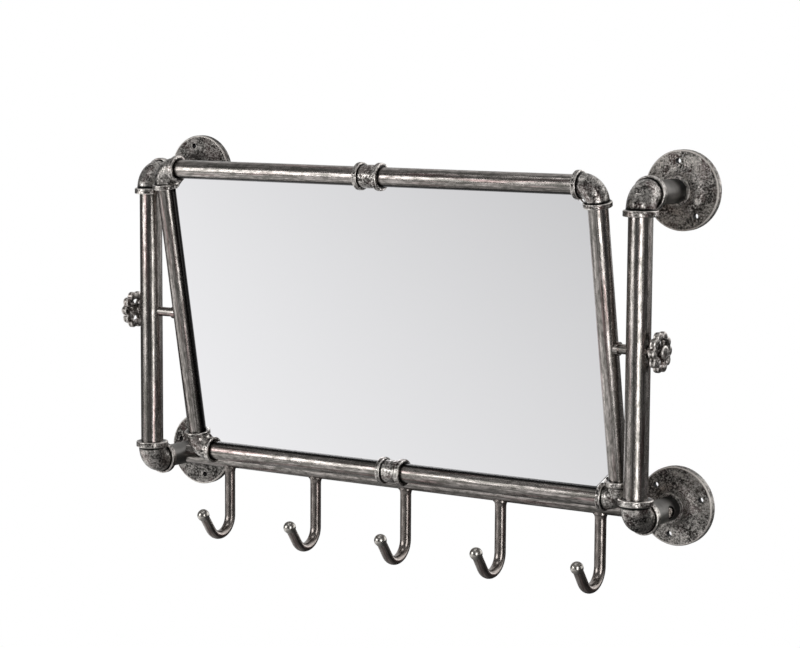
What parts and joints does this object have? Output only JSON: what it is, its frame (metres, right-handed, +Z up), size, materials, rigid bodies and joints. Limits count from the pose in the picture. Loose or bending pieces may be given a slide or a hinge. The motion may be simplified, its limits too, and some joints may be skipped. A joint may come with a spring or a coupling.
{
  "type": "tilting wall mirror with hooks",
  "caption": "Tilting rectangular wall mirror in a pipe-fitting frame, hung between flanged pipe brackets, with a rail of round hooks below.",
  "frame": {"origin": "middle of the four flanges on the wall plane", "axes": "+X to the viewer's right, +Y into the wall, +Z up"},
  "size_m": [0.75, 0.1539, 0.4912],
  "materials": {
    "flange_casting": "antiqued, mottled, satin",
    "fitting_casting": "antiqued, rubbed bright on the edges",
    "turned_steel": "smooth matte grey",
    "antiqued_pipe": "dark gunmetal, brushed lengthwise, glossy",
    "hook_rod": "dark antiqued, brushed",
    "bright_screw": "bright",
    "silvered_glass": "polished",
    "board": "plain hardboard",
    "shaft_steel": "dark steel",
    "wheel_casting": "dark casting, rubbed bright on the lobes"
  },
  "bodies": {
    "bracket": {"flange_top_left": "flange_casting", "flange_top_right": "flange_casting", "flange_bottom_left": "flange_casting", "flange_bottom_right": "flange_casting", "arm_top_left": "turned_steel", "arm_top_right": "turned_steel", "arm_bottom_left": "turned_steel", "arm_bottom_right": "turned_steel", "elbow_top_left": "fitting_casting", "elbow_top_right": "fitting_casting", "elbow_bottom_left": "fitting_casting", "elbow_bottom_right": "fitting_casting", "upright_left": "antiqued_pipe", "upright_right": "antiqued_pipe", "hook_rail": "antiqued_pipe", "rail_screws": "bright_screw", "hook_1": "hook_rod", "hook_2": "hook_rod", "hook_3": "hook_rod", "hook_4": "hook_rod", "hook_5": "hook_rod"},
    "mirror_frame": {"frame_elbow_top_left": "fitting_casting", "frame_elbow_top_right": "fitting_casting", "frame_elbow_bottom_left": "fitting_casting", "frame_elbow_bottom_right": "fitting_casting", "bar_top_left": "antiqued_pipe", "bar_top_right": "antiqued_pipe", "bar_bottom_left": "antiqued_pipe", "bar_bottom_right": "antiqued_pipe", "side_left": "antiqued_pipe", "side_right": "antiqued_pipe", "coupling_top": "fitting_casting", "coupling_bottom": "fitting_casting", "mirror_glass": "silvered_glass", "backing_board": "board", "pivot_shaft_left": "shaft_steel", "pivot_shaft_right": "shaft_steel"},
    "handwheel_left": {"handwheel_left": "wheel_casting"},
    "handwheel_right": {"handwheel_right": "wheel_casting"}
  },
  "joints": [
    {"name": "mirror_tilt", "type": "hinge", "parent": "bracket", "child": "mirror_frame", "pos_m": [0, -0.104, 0.009], "axis": [1, 0, 0], "range_deg": [-38, 1]},
    {"name": "left_clamp", "type": "hinge", "parent": "mirror_frame", "child": "handwheel_left", "pos_m": [-0.35245, -0.104, 0.009], "axis": [-1, 0, 0], "range_deg": [0, 360]},
    {"name": "right_clamp", "type": "hinge", "parent": "mirror_frame", "child": "handwheel_right", "pos_m": [0.35245, -0.104, 0.009], "axis": [1, 0, 0], "range_deg": [0, 360]}
  ]
}
